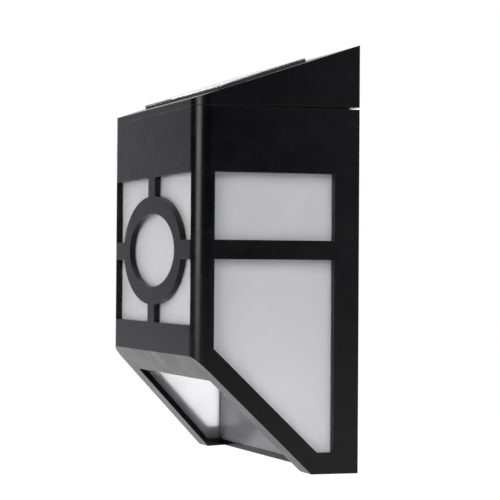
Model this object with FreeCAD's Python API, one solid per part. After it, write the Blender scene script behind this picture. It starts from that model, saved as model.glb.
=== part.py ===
import FreeCAD, Part
import math
import os

# A solar fence light: a tapered open-bottomed housing with pierced windows, a
# frosted liner behind them, and a wedge-shaped cap that carries a solar panel
# and, in a tray under it, the battery, the board, the LEDs and the switch.
# Millimetres. X is to the right seen from the front, Y goes back to the wall,
# Z is up. In this file heights start at the lamp's bottom edge and the wall is
# the plane y = 0. save() lowers every piece by HANG_HEIGHT, so that the stored
# origin is midway between the two wall keyholes, on the wall.

Vec = FreeCAD.Vector

# ---- driving sizes: outside ----
FRONT_WIDTH = 84.4        # across the front wall
BACK_WIDTH = 106.8        # across the back, at the wall
DEPTH = 57.75             # front wall to the fence
BODY_HEIGHT = 128.0       # bottom edge to the seam under the cap
CAP_FRONT = 2.5           # height of the cap at its front edge
CAP_BACK = 22.8           # height of the cap at the wall
BOTTOM_FLAT = 16.6        # level part of the underside, next to the wall
CORNER_RADIUS = 6.5       # upright front corners
WALL = 2.15               # moulded wall
SEAM_OPENING = 0.75       # the seam under the cap opens to this at the back

# ---- windows and tracery ----
BAR = 6.7                 # width of the window bars
WINDOW_DROP = 22.9        # rim to the top of the windows
CROSSBAR_DROP = 46.4      # rim to the top of the level bar, front and sides
FRONT_SILL = 10.75        # front wall left under the front window
FRONT_STILE = 4.6         # side of the front to its window
RING_HALF_WIDTH = 29.0    # outer half axes of the oval ring
RING_HALF_HEIGHT = 20.0
RING_BAND = 6.5
SIDE_WINDOW_FRONT = 6.6   # from the front face to the side window
SIDE_WINDOW_BACK = 8.85   # from the wall to the side window
SIDE_WINDOW_LOW = 7.4

# ---- underside, back and wall fixing ----
RAIL = 8.8                # side rails round the light outlet
FRONT_RAIL = 8.75         # front rail, measured level
BACK_SKIN = 7.0           # wall plane to the inner face of the back
BACK_LIP = 8.5            # wall plane to the edge of the lip under the liner
BAY_DEPTH = 21.0          # rim to the floor of the bay for the tray
HANG_DROP = 38.0          # rim to the keyholes
KEYHOLE_SPACING = 50.0
KEYHOLE_RADIUS = 4.25
KEYHOLE_SLOT = 2.25
KEYHOLE_TRAVEL = 8.0
KEYHOLE_PLATE = 2.0
BOSS_HALF = 9.0
BOSS_MARGIN = 2.5         # wall left round the pocket for the screw's head

# ---- frosted liner ----
LINER_GAP = 0.3
LINER_WALL = 1.2
LINER_TOP_GAP = 0.3       # below the bay floor

# ---- tray under the cap ----
TRAY_GAP = 0.3
TRAY_WALL = 1.6
TRAY_LIFT = 0.6           # tray floor above the bay floor
TRAY_FLOOR = 2.0
TRAY_LIP = 3.5            # how far the tray reaches into the cap
ROOF_CLEARANCE = 0.4      # tray to the cap's roof
POST_RADIUS = 3.2
POST_BACK = 14.0          # wall to the back posts
POST_FRONT = 9.75         # front face to the front posts
POST_INSET = 8.6          # side face to every post
SCREW_RADIUS = 1.4
SCREW_HEAD_RADIUS = 2.6
SCREW_HEAD = 1.4
SCREW_LENGTH = 9.0
SCREW_PLAY = 0.1

# ---- battery: one AA cell, lying across ----
CELL_RADIUS = 7.25
CELL_LENGTH = 49.5
NUB_RADIUS = 2.75
NUB_LENGTH = 1.0
CELL_BEHIND_BOARD = 17.5  # middle of the board to the cell's axis
CELL_RISE = 9.0           # tray floor's top to the cell's axis
CONTACT_THICK = 0.5
CONTACT_SIZE = 9.0
SPRING_LENGTH = 4.0
SPRING_TURNS = 3
SPRING_WIRE = 0.8
SPRING_RADII = (3.0, 4.2)
BAY_WALL = 1.5
BAY_HEIGHT = 11.0
BAY_PLAY = 0.6            # cell to the bay's long walls

# ---- battery door ----
HATCH_LENGTH = 46.0
HATCH_WIDTH = 13.6
DOOR_THICK = 1.6
DOOR_MARGIN = 3.0
DOOR_EAR = 16.0
DOOR_PLAY = 0.3
SADDLE_PLACES = (-14.0, 14.0)
SADDLE_THICK = 2.0
SADDLE_DROP = 4.0         # the cell's axis to the saddles' tips

# ---- board and what is on it ----
BOARD = (40.0, 12.0, 1.6)
BOARD_SETBACK = 13.2      # front face to the middle of the board
BOARD_RISE = 3.4          # tray floor's top to the board
LED_X = 12.0
LED_RADIUS = 2.5
LED_FLANGE = 2.9
LED_DROP = 4.1            # tray floor's top to the middle of the dome
LEAD_RADIUS = 0.25
LEAD_PITCH = 2.54
CHIP = (5.0, 4.0, 1.5)
CHIP_X = 8.0
INDUCTOR_RADIUS = 2.4
INDUCTOR_HEIGHT = 6.0
INDUCTOR_X = -13.0

# ---- switch ----
SWITCH = (9.0, 4.6)
SLIDER_STEM = (1.8, 1.6)
SLIDER_FOOT = (3.2, 2.4, 1.2)
SWITCH_TRAVEL = 2.5
SWITCH_PLAY = 0.2
SWITCH_LIP = 0.5          # the switch body's lip that carries the foot
SLIDER_REACH = 2.2        # how far the knob stands out under the tray

# ---- solar panel ----
PANEL_HALF_WIDTH = 36.0
PANEL_SETBACK = 11.25     # front face to the panel's front edge, level
PANEL_LENGTH = 36.0       # along the slope of the roof
PANEL_BACKING = 0.8
CELL_THICK = 0.2
PANEL_COVER = 0.4         # clear layer over the cells
PANEL_MARGIN = 2.0
CELL_COUNT = 8
CELL_SPACE = 0.6
WIRE_RADIUS = 0.6
WIRE_X = 3.0
WIRE_BEHIND = 3.0         # middle of the board to the panel's leads

# ---- worked out from the sizes above ----
SIDE_ANGLE = math.atan2((BACK_WIDTH - FRONT_WIDTH) / 2, DEPTH)
SLOPE_TOP = DEPTH - BOTTOM_FLAT
BAY_FLOOR = BODY_HEIGHT - BAY_DEPTH
HANG_HEIGHT = BODY_HEIGHT - HANG_DROP
WINDOW_TOP = BODY_HEIGHT - WINDOW_DROP
FRONT_WINDOW_LOW = SLOPE_TOP + FRONT_SILL
FRONT_WINDOW_HALF = FRONT_WIDTH / 2 - FRONT_STILE
ROOF_RISE = CAP_BACK - CAP_FRONT
ROOF_PITCH = math.atan2(ROOF_RISE, DEPTH)
CROSSBAR_HIGH = BODY_HEIGHT - CROSSBAR_DROP
CROSSBAR_LOW = CROSSBAR_HIGH - BAR
RING_MIDDLE = CROSSBAR_LOW + BAR / 2
FLOOR_LOW = BAY_FLOOR + TRAY_LIFT
FLOOR_HIGH = FLOOR_LOW + TRAY_FLOOR
BOARD_Y = -DEPTH + BOARD_SETBACK
BOARD_LOW = FLOOR_HIGH + BOARD_RISE
BOARD_HIGH = BOARD_LOW + BOARD[2]
WIRE_Y = BOARD_Y + WIRE_BEHIND
CELL_Y = BOARD_Y + CELL_BEHIND_BOARD
CELL_Z = FLOOR_HIGH + CELL_RISE
CELL_LEFT = -(CELL_LENGTH + NUB_LENGTH) / 2
CELL_RIGHT = CELL_LEFT + CELL_LENGTH
NUB_END = CELL_RIGHT + NUB_LENGTH
SPRING_END = CELL_LEFT - SPRING_LENGTH
HATCH_MIDDLE = (CELL_LEFT + CELL_RIGHT) / 2
DOOR_RIGHT = HATCH_MIDDLE + HATCH_LENGTH / 2 + DOOR_EAR
DOOR_SCREW_X = DOOR_RIGHT - DOOR_EAR / 2
WIDE = BACK_WIDTH         # longer than any cut needs to be


def half_width(y):
    """Half the body's width at depth y (0 at the wall, -DEPTH in front)."""
    return FRONT_WIDTH / 2 + (y + DEPTH) * math.tan(SIDE_ANGLE)


def post_places():
    """Where the four screw posts stand, as (x, y)."""
    places = []
    for y in (-POST_BACK, -DEPTH + POST_FRONT):
        x = half_width(y) - POST_INSET
        places += [(-x, y), (x, y)]
    return places


def box(x0, x1, y0, y1, z0, z1):
    """Upright box between two corners."""
    return Part.makeBox(x1 - x0, y1 - y0, z1 - z0, Vec(x0, y0, z0))


def post(x, y, z0, z1, radius):
    """Upright round post."""
    return Part.makeCylinder(radius, z1 - z0, Vec(x, y, z0))


def profile(points, half):
    """Slab with a (y, z) outline, reaching from x = -half to x = half."""
    corners = [Vec(-half, y, z) for y, z in points]
    face = Part.Face(Part.makePolygon(corners + corners[:1]))
    return face.extrude(Vec(2 * half, 0, 0))


def plan(inset, back, low, high, radius):
    """Upright block with the lamp's tapered plan, drawn in by inset."""
    front = -DEPTH + inset
    draw_in = inset / math.cos(SIDE_ANGLE)
    near = half_width(front) - draw_in
    far = half_width(back) - draw_in
    corners = [(-near, front), (near, front), (far, back), (-far, back)]
    wire = [Vec(x, y, low) for x, y in corners]
    block = Part.Face(Part.makePolygon(wire + wire[:1])).extrude(Vec(0, 0, high - low))
    return block.makeFillet(radius, upright_edges(block, front))


def upright_edges(block, y):
    """The block's upright edges at depth y."""
    found = []
    for edge in block.Edges:
        ends = [vertex.Point for vertex in edge.Vertexes]
        same_place = abs(ends[0].x - ends[1].x) < 0.01 and abs(ends[0].y - y) < 0.01
        if same_place and abs(ends[1].y - y) < 0.01:
            found.append(edge)
    return found


def above_roof(offset):
    """All the space above the roof's plane, lowered by offset."""
    front = BODY_HEIGHT + CAP_FRONT - offset
    back = front + ROOF_RISE
    slope = ROOF_RISE / DEPTH
    points = [(-DEPTH - 5, front - 5 * slope), (5, back + 5 * slope)]
    points += [(5, back + DEPTH), (-DEPTH - 5, back + DEPTH)]
    return profile(points, WIDE)


def below_floor(offset):
    """All the space under the sloped underside, raised by offset."""
    rise = offset * math.sqrt(2)
    turn = -BOTTOM_FLAT + offset * (math.sqrt(2) - 1)
    points = [(-DEPTH - 5, SLOPE_TOP + 5 + rise), (turn, offset), (5, offset)]
    points += [(5, -10), (-DEPTH - 5, -10)]
    return profile(points, WIDE)


# ---------------------------------------------------------------- housing

def oval(half_x, half_z):
    """Oval block through the front wall."""
    ellipse = Part.Ellipse(Vec(0, 0, 0), half_x, half_z)
    face = Part.Face(Part.Wire(ellipse.toShape()))
    face.rotate(Vec(0, 0, 0), Vec(1, 0, 0), 90)
    face.translate(Vec(0, -DEPTH + 2 * WALL, RING_MIDDLE))
    return face.extrude(Vec(0, -4 * WALL, 0))


def front_window():
    """The four panes and the oval eye that are cut out of the front."""
    y0, y1 = -DEPTH - WALL, -DEPTH + 2 * WALL
    half = FRONT_WINDOW_HALF
    panes = box(-half, half, y0, y1, FRONT_WINDOW_LOW, WINDOW_TOP)
    panes = panes.cut(box(-BAR / 2, BAR / 2, y0, y1, 0, BODY_HEIGHT))
    panes = panes.cut(box(-WIDE, WIDE, y0, y1, CROSSBAR_LOW, CROSSBAR_HIGH))
    panes = panes.cut(oval(RING_HALF_WIDTH, RING_HALF_HEIGHT))
    return panes.fuse(oval(RING_HALF_WIDTH - RING_BAND, RING_HALF_HEIGHT - RING_BAND))


def side_windows():
    """Upper pane and the lower pane with its slanted edge, both sides."""
    y0 = -DEPTH + SIDE_WINDOW_FRONT
    y1 = -SIDE_WINDOW_BACK
    slant = BAR * math.sqrt(2) - BOTTOM_FLAT      # z + y along the slanted edge
    upper = profile([(y0, CROSSBAR_HIGH), (y1, CROSSBAR_HIGH), (y1, WINDOW_TOP), (y0, WINDOW_TOP)], WIDE)
    lower_points = [(y0, slant - y0), (slant - SIDE_WINDOW_LOW, SIDE_WINDOW_LOW)]
    lower_points += [(y1, SIDE_WINDOW_LOW), (y1, CROSSBAR_LOW), (y0, CROSSBAR_LOW)]
    return upper.fuse(profile(lower_points, WIDE))


def light_outlet():
    """Cut through the sloped underside, inside its rails."""
    front, back = -DEPTH + FRONT_RAIL, -BACK_LIP
    near, far = half_width(front) - RAIL, half_width(back) - RAIL
    corners = [Vec(-near, front, -1), Vec(near, front, -1), Vec(far, back, -1), Vec(-far, back, -1)]
    face = Part.Face(Part.makePolygon(corners + corners[:1]))
    return face.extrude(Vec(0, 0, SLOPE_TOP))


def underside_rails():
    """Sloped frame that closes the bottom, before the outlet is cut."""
    block = plan(0, 0, -1, BODY_HEIGHT / 2, CORNER_RADIUS)
    block = block.cut(below_floor(0))
    block = block.common(below_floor(WALL))
    behind_lip = box(-WIDE, WIDE, -BACK_LIP, 5, -5, BODY_HEIGHT)
    lip = box(-WIDE, WIDE, -BACK_LIP, 5, -5, WALL)
    return block.cut(behind_lip).fuse(block.common(lip)).cut(light_outlet())


def keyhole_boss(x):
    """Block behind the back skin that holds one keyhole."""
    reach = KEYHOLE_RADIUS + BOSS_MARGIN * 1.5
    top = HANG_HEIGHT + KEYHOLE_TRAVEL + reach
    return box(x - BOSS_HALF, x + BOSS_HALF, -BACK_SKIN, 0, HANG_HEIGHT - reach, top)


def keyhole_cut(x):
    """Round entry, slot above it and the pocket for the screw's head."""
    reach = KEYHOLE_RADIUS + BOSS_MARGIN / 2
    half = BOSS_HALF - BOSS_MARGIN
    slot_top = HANG_HEIGHT + KEYHOLE_TRAVEL
    y0 = -BACK_SKIN - 1
    pocket = box(x - half, x + half, y0, -KEYHOLE_PLATE, HANG_HEIGHT - reach, slot_top + reach)
    through = DEPTH / 4
    entry = Part.makeCylinder(KEYHOLE_RADIUS, through, Vec(x, 1, HANG_HEIGHT), Vec(0, -1, 0))
    slot_end = Part.makeCylinder(KEYHOLE_SLOT, through, Vec(x, 1, slot_top), Vec(0, -1, 0))
    slot = box(x - KEYHOLE_SLOT, x + KEYHOLE_SLOT, 1 - through, 1, HANG_HEIGHT, slot_top)
    opening = entry.fuse([slot_end, slot])
    return pocket.fuse(opening.common(box(-WIDE, WIDE, -BACK_SKIN, 1, 0, BODY_HEIGHT)))


def housing():
    """Front, sides and back in one moulding, open at the top and below."""
    shell = plan(0, 0, 0, BODY_HEIGHT, CORNER_RADIUS).cut(below_floor(0))
    inner_radius = CORNER_RADIUS - WALL
    chamber = plan(WALL, -BACK_SKIN, -1, BAY_FLOOR, inner_radius)
    bay = plan(WALL, -WALL, BAY_FLOOR, BODY_HEIGHT + 1, inner_radius)
    shell = shell.cut(chamber).cut(bay)
    far = half_width(0) - WALL / math.cos(SIDE_ANGLE)
    recess = box(-far, far, -BACK_SKIN + WALL, 1, WALL, BAY_FLOOR - WALL)
    recess = recess.common(plan(WALL, 2, 0, BODY_HEIGHT, inner_radius))
    shell = shell.cut(recess)
    shell = shell.fuse(underside_rails())
    places = (-KEYHOLE_SPACING / 2, KEYHOLE_SPACING / 2)
    shell = shell.fuse([keyhole_boss(x) for x in places])
    shell = shell.cut([keyhole_cut(x) for x in places])
    return shell.cut([front_window(), side_windows()]).removeSplitter()


def liner():
    """Frosted four-sided sleeve that stands on the rails behind the windows."""
    top = BAY_FLOOR - LINER_TOP_GAP
    outside = WALL + LINER_GAP
    back = -BACK_SKIN - LINER_GAP
    radius = CORNER_RADIUS - outside
    sleeve = plan(outside, back, 0, top, radius)
    hollow = plan(outside + LINER_WALL, back - LINER_WALL, -1, top + 1, radius - LINER_WALL)
    return sleeve.cut(hollow).cut(below_floor(WALL))


# ---------------------------------------------------------------- cap

def seam_wedge():
    """Space under the cap's rim; the seam opens towards the wall."""
    rise = SEAM_OPENING / DEPTH
    front = BODY_HEIGHT - 5 * rise
    back = BODY_HEIGHT + SEAM_OPENING + 5 * rise
    return profile([(-DEPTH - 5, front), (5, back), (5, 0), (-DEPTH - 5, 0)], WIDE)


def cap_shell():
    """Wedge-shaped cover with four screw posts inside."""
    top = BODY_HEIGHT + CAP_BACK + 1
    roof = WALL / math.cos(ROOF_PITCH)
    cover = plan(0, 0, BODY_HEIGHT - 1, top, CORNER_RADIUS)
    cavity = plan(WALL, -WALL, BODY_HEIGHT - 2, top, CORNER_RADIUS - WALL)
    cover = cover.cut(cavity.cut(above_roof(roof)))
    cover = cover.cut(seam_wedge())
    posts = [post(x, y, FLOOR_HIGH, top, POST_RADIUS) for x, y in post_places()]
    cover = cover.fuse(posts).cut(above_roof(0))
    pilots = [post(x, y, FLOOR_HIGH - 1, FLOOR_HIGH + SCREW_LENGTH, SCREW_RADIUS) for x, y in post_places()]
    wires = [post(x, WIRE_Y, BODY_HEIGHT - 5, top, WIRE_RADIUS + SCREW_PLAY) for x in (-WIRE_X, WIRE_X)]
    return cover.cut(pilots + wires).removeSplitter()


def battery_bay():
    """Open-topped walls on the tray that hold the cell and its contacts."""
    half = CELL_RADIUS + BAY_PLAY
    left = SPRING_END - CONTACT_THICK
    right = NUB_END + CONTACT_THICK
    z1 = FLOOR_HIGH + BAY_HEIGHT
    outer = box(left - BAY_WALL, right + BAY_WALL, CELL_Y - half - BAY_WALL, CELL_Y + half + BAY_WALL,
                FLOOR_HIGH, z1)
    return outer.cut(box(left, right, CELL_Y - half, CELL_Y + half, FLOOR_HIGH, z1))


def tray():
    """Box under the cap with the battery bay, board posts and openings."""
    high = BODY_HEIGHT + TRAY_LIP
    outside = WALL + TRAY_GAP
    back = -WALL - TRAY_GAP
    radius = CORNER_RADIUS - outside
    shell = plan(outside, back, FLOOR_LOW, high, radius)
    hollow = plan(outside + TRAY_WALL, back - TRAY_WALL, FLOOR_HIGH, high + 1, radius - TRAY_WALL)
    shell = shell.cut(hollow).cut(above_roof(WALL / math.cos(ROOF_PITCH) + ROOF_CLEARANCE))
    ends = (-BOARD[0] / 2 + 3, BOARD[0] / 2 - 3)
    stands = [post(x, BOARD_Y, FLOOR_HIGH, BOARD_LOW, 2) for x in ends]
    screw_post = post(DOOR_SCREW_X, CELL_Y, FLOOR_HIGH, FLOOR_HIGH + SCREW_LENGTH, POST_RADIUS)
    shell = shell.fuse(stands + [battery_bay(), screw_post])
    return shell.cut(tray_openings()).removeSplitter()


def tray_openings():
    """Hatch, LED holes, switch slot and screw holes in the tray's floor."""
    half = HATCH_LENGTH / 2
    low, high = FLOOR_LOW - 1, FLOOR_HIGH
    hatch = box(HATCH_MIDDLE - half, HATCH_MIDDLE + half, CELL_Y - HATCH_WIDTH / 2,
                CELL_Y + HATCH_WIDTH / 2, low, high)
    cuts = [hatch]
    cuts += [post(x, BOARD_Y, low, high, LED_RADIUS + SCREW_PLAY) for x in (-LED_X, LED_X)]
    cuts += [post(x, y, low, high, SCREW_RADIUS + SCREW_PLAY) for x, y in post_places()]
    cuts.append(post(DOOR_SCREW_X, CELL_Y, low, high + SCREW_LENGTH + 1, SCREW_RADIUS + SCREW_PLAY))
    cuts.append(switch_slot(low, high))
    return cuts


def cap_screw(x, y, under):
    """Round-headed screw pointing up, its head against the face at under."""
    head = post(x, y, under - SCREW_HEAD, under, SCREW_HEAD_RADIUS)
    return head.fuse(post(x, y, under, under + SCREW_LENGTH, SCREW_RADIUS))


def tray_screws():
    """The four screws that hold the tray to the cap."""
    return Part.makeCompound([cap_screw(x, y, FLOOR_LOW) for x, y in post_places()])


# ---------------------------------------------------------------- battery

def battery():
    """AA cell with its raised end at +X."""
    along = Vec(1, 0, 0)
    can = Part.makeCylinder(CELL_RADIUS, CELL_LENGTH, Vec(CELL_LEFT, CELL_Y, CELL_Z), along)
    nub = Part.makeCylinder(NUB_RADIUS, NUB_LENGTH, Vec(CELL_RIGHT, CELL_Y, CELL_Z), along)
    return can.fuse(nub)


def contact_plate(x):
    """Sheet-metal contact whose face starts at x."""
    half = CONTACT_SIZE / 2
    return box(x, x + CONTACT_THICK, CELL_Y - half, CELL_Y + half, CELL_Z - half, CELL_Z + half)


def battery_contact():
    """Plate at the raised end."""
    return contact_plate(NUB_END)


def battery_spring():
    """Plate and tapered spring at the flat end; each turn is a ridge."""
    step = SPRING_LENGTH / SPRING_TURNS
    small, large = SPRING_RADII
    points = [Vec(SPRING_END, 0, 0)]
    for turn in range(SPRING_TURNS):
        radius = large + (small - large) * turn / (SPRING_TURNS - 1)
        start = SPRING_END + turn * step
        points += [Vec(start, radius - SPRING_WIRE / 2, 0), Vec(start + step / 2, radius, 0)]
    points += [Vec(CELL_LEFT, small - SPRING_WIRE / 2, 0), Vec(CELL_LEFT, 0, 0)]
    face = Part.Face(Part.makePolygon(points + points[:1]))
    spring = face.revolve(Vec(0, 0, 0), Vec(1, 0, 0), 360)
    spring.translate(Vec(0, CELL_Y, CELL_Z))
    return contact_plate(SPRING_END - CONTACT_THICK).fuse(spring)


def battery_door():
    """Plate under the hatch, with a rim in the hatch and two saddles."""
    left = HATCH_MIDDLE - HATCH_LENGTH / 2
    right = HATCH_MIDDLE + HATCH_LENGTH / 2
    half = HATCH_WIDTH / 2
    low = FLOOR_LOW - DOOR_THICK
    plate = box(left - DOOR_MARGIN, DOOR_RIGHT, CELL_Y - half - DOOR_MARGIN, CELL_Y + half + DOOR_MARGIN,
                low, FLOOR_LOW)
    play = DOOR_PLAY
    key = box(left + play, right - play, CELL_Y - half + play, CELL_Y + half - play, FLOOR_LOW, FLOOR_HIGH)
    inner = BAY_WALL + play
    key = key.cut(box(left + inner, right - inner, CELL_Y - half + inner, CELL_Y + half - inner,
                      FLOOR_LOW, FLOOR_HIGH))
    saddles = []
    reach = half - play
    for x in SADDLE_PLACES:
        far = x + SADDLE_THICK
        saddles.append(box(x, far, CELL_Y - reach, CELL_Y + reach, FLOOR_LOW, CELL_Z - SADDLE_DROP))
    axis = Vec(1, 0, 0)
    seat = Part.makeCylinder(CELL_RADIUS + DOOR_PLAY, 2 * WIDE, Vec(-WIDE, CELL_Y, CELL_Z), axis)
    hole = post(DOOR_SCREW_X, CELL_Y, low - 1, FLOOR_LOW + 1, SCREW_RADIUS + SCREW_PLAY)
    return plate.fuse([key] + saddles).cut([seat, hole]).removeSplitter()


def door_screw():
    """Single screw that holds the battery door shut."""
    return cap_screw(DOOR_SCREW_X, CELL_Y, FLOOR_LOW - DOOR_THICK)


# ---------------------------------------------------------------- board

def circuit_board():
    """Board over the LEDs and the switch."""
    half_x, half_y = BOARD[0] / 2, BOARD[1] / 2
    return box(-half_x, half_x, BOARD_Y - half_y, BOARD_Y + half_y, BOARD_LOW, BOARD_HIGH)


def led(x):
    """Round-domed LED pointing down through the tray, with its two legs."""
    middle = FLOOR_HIGH - LED_DROP
    body = post(x, BOARD_Y, middle, FLOOR_HIGH + 1, LED_RADIUS)
    dome = Part.makeSphere(LED_RADIUS, Vec(x, BOARD_Y, middle))
    flange = post(x, BOARD_Y, FLOOR_HIGH, FLOOR_HIGH + 1, LED_FLANGE)
    places = (x - LEAD_PITCH / 2, x + LEAD_PITCH / 2)
    legs = [post(place, BOARD_Y, FLOOR_HIGH + 0.5, BOARD_LOW, LEAD_RADIUS) for place in places]
    return body.fuse([dome, flange] + legs).removeSplitter()


def driver_chip():
    """Charging and driving circuit."""
    length, width, thick = CHIP
    return box(CHIP_X - length / 2, CHIP_X + length / 2, BOARD_Y - width / 2, BOARD_Y + width / 2,
               BOARD_HIGH, BOARD_HIGH + thick)


def inductor():
    """Upright coil with a waist, as a wound drum has."""
    end = INDUCTOR_HEIGHT / 6
    top = BOARD_HIGH + INDUCTOR_HEIGHT
    drum = post(INDUCTOR_X, BOARD_Y, BOARD_HIGH, top, INDUCTOR_RADIUS * 0.85)
    low = post(INDUCTOR_X, BOARD_Y, BOARD_HIGH, BOARD_HIGH + end, INDUCTOR_RADIUS)
    return drum.fuse([low, post(INDUCTOR_X, BOARD_Y, top - end, top, INDUCTOR_RADIUS)])


def switch_slot(low, high):
    """Slot in the tray's floor for the knob's travel."""
    half_x = (SLIDER_STEM[0] + SWITCH_TRAVEL) / 2 + SWITCH_PLAY
    half_y = SLIDER_STEM[1] / 2 + SWITCH_PLAY
    return box(-half_x, half_x, BOARD_Y - half_y, BOARD_Y + half_y, low, high)


def switch_body():
    """Slide switch between the tray's floor and the board."""
    half_x, half_y = SWITCH[0] / 2, SWITCH[1] / 2
    case = box(-half_x, half_x, BOARD_Y - half_y, BOARD_Y + half_y, FLOOR_HIGH, BOARD_LOW)
    lip_top = FLOOR_HIGH + SWITCH_LIP
    room_x = (SLIDER_FOOT[0] + SWITCH_TRAVEL) / 2 + SWITCH_PLAY
    room_y = SLIDER_FOOT[1] / 2 + SWITCH_PLAY
    room = box(-room_x, room_x, BOARD_Y - room_y, BOARD_Y + room_y, lip_top,
               lip_top + SLIDER_FOOT[2] + SWITCH_PLAY)
    return case.cut([room, switch_slot(FLOOR_HIGH - 1, lip_top)])


def switch_slider():
    """Knob of the slide switch, at the off end of its travel."""
    x = -SWITCH_TRAVEL / 2
    stem_x, stem_y = SLIDER_STEM
    foot_x, foot_y, foot_z = SLIDER_FOOT
    lip_top = FLOOR_HIGH + SWITCH_LIP
    stem = box(x - stem_x / 2, x + stem_x / 2, BOARD_Y - stem_y / 2, BOARD_Y + stem_y / 2,
               FLOOR_LOW - SLIDER_REACH, lip_top)
    foot = box(x - foot_x / 2, x + foot_x / 2, BOARD_Y - foot_y / 2, BOARD_Y + foot_y / 2,
               lip_top, lip_top + foot_z)
    return stem.fuse(foot).removeSplitter()


# ---------------------------------------------------------------- solar panel

def on_roof(shape):
    """Move a flat piece drawn with its front edge at y = 0 onto the roof."""
    shape.rotate(Vec(0, 0, 0), Vec(1, 0, 0), math.degrees(ROOF_PITCH))
    front_z = BODY_HEIGHT + CAP_FRONT + PANEL_SETBACK * math.tan(ROOF_PITCH)
    shape.translate(Vec(0, -DEPTH + PANEL_SETBACK, front_z))
    return shape


def panel_backing():
    """Board that the cells lie on."""
    half = PANEL_HALF_WIDTH
    return on_roof(box(-half, half, 0, PANEL_LENGTH, 0, PANEL_BACKING))


def flat_cell(number):
    """One strip of the panel, still flat, counted from the left."""
    room = 2 * (PANEL_HALF_WIDTH - PANEL_MARGIN)
    pitch = (room + CELL_SPACE) / CELL_COUNT
    x = -PANEL_HALF_WIDTH + PANEL_MARGIN + number * pitch
    return box(x, x + pitch - CELL_SPACE, PANEL_MARGIN, PANEL_LENGTH - PANEL_MARGIN,
               PANEL_BACKING, PANEL_BACKING + CELL_THICK)


def panel_cover():
    """Clear layer that seals the cells in."""
    half = PANEL_HALF_WIDTH
    top = PANEL_BACKING + CELL_THICK + PANEL_COVER
    cover = box(-half, half, 0, PANEL_LENGTH, PANEL_BACKING, top)
    cover = cover.cut([flat_cell(number) for number in range(CELL_COUNT)])
    return on_roof(cover)


def panel_wire(x):
    """Lead from the panel straight down to the board."""
    wire = post(x, WIRE_Y, BOARD_HIGH, BODY_HEIGHT + CAP_BACK, WIRE_RADIUS)
    return wire.cut(above_roof(0))


# ---------------------------------------------------------------- writing

def save(name, shape):
    """Write one piece in the stored frame."""
    shape.translate(Vec(0, 0, -HANG_HEIGHT))
    if not shape.isValid():
        raise RuntimeError(name + " is not a valid solid")
    shape.exportStep(os.path.join("parts", name + ".step"))


def build():
    """Make and write every piece."""
    os.makedirs("parts", exist_ok=True)
    save("housing", housing())
    save("liner", liner())
    save("cap_shell", cap_shell())
    save("tray", tray())
    save("tray_screws", tray_screws())
    save("battery", battery())
    save("battery_contact", battery_contact())
    save("battery_spring", battery_spring())
    save("battery_door", battery_door())
    save("door_screw", door_screw())
    save("circuit_board", circuit_board())
    save("driver_chip", driver_chip())
    save("inductor", inductor())
    save("led_left", led(-LED_X))
    save("led_right", led(LED_X))
    save("switch_body", switch_body())
    save("switch_slider", switch_slider())
    save("panel_backing", panel_backing())
    save("panel_cover", panel_cover())
    save("panel_wire_left", panel_wire(-WIRE_X))
    save("panel_wire_right", panel_wire(WIRE_X))
    for number in range(CELL_COUNT):
        save("solar_cell_%d" % (number + 1), on_roof(flat_cell(number)))


build()
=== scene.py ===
"""A solar fence light: its finishes, its small fittings and the studio round it."""

import math

import bmesh
import bpy
from mathutils import Matrix, Vector


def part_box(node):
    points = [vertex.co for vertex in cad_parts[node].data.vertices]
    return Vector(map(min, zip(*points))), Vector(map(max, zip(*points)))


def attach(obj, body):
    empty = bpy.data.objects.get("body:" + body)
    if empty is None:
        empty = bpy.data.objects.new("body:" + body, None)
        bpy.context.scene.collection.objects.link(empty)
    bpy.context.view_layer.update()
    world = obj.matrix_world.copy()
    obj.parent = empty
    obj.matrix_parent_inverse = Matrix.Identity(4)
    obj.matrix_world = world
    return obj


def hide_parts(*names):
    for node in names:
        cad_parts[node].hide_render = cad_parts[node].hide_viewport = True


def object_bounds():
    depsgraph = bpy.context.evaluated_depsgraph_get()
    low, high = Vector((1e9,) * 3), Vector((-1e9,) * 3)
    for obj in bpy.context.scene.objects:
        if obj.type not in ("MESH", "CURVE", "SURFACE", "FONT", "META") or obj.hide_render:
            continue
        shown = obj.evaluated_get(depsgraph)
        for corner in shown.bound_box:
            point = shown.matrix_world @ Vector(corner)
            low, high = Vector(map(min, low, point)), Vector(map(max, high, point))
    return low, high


bl_info = {
    "name": "Solar Fence Light",
    "version": (1, 0, 0),
    "blender": (4, 5, 0),
    "location": "3D View > Sidebar > Fence Light",
    "description": "Finishes, small fittings and a plain studio for a solar fence light",
    "category": "Object",
}

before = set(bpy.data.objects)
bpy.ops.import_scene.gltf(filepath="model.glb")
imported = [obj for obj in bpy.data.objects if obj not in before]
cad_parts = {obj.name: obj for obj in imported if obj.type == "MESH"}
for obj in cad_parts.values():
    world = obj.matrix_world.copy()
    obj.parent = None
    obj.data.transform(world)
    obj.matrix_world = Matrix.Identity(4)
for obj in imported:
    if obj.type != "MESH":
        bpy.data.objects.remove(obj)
CAD_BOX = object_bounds()
MM = 0.001

# The camera, fitted to the photograph; millimetres from the wall fixing.
CAMERA_PLACE = (513.44, -255.44, -19.5)
CAMERA_AZIMUTH = 65.142
CAMERA_RISE = 0.849
CAMERA_ROLL = 0.384
FOCAL_PIXELS = 1489.24
FRAME_PIXELS = 500.0
SENSOR = 36.0

# The battery, in millimetres: its raised end, that end's radius and the shoulder before it.
NUB_LENGTH = 1.0
NUB_RADIUS = 2.7
SHOULDER = 0.8

# The sprung contact, in millimetres: its plate, then the wire's radius, widest turn and taper.
PLATE_THICK = 0.5
SPRING_WIRE = 0.35
SPRING_RADIUS = 3.9
SPRING_TAPER = 1.2
SPRING_TURNS = 4
SPRING_STEPS = 28

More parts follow.
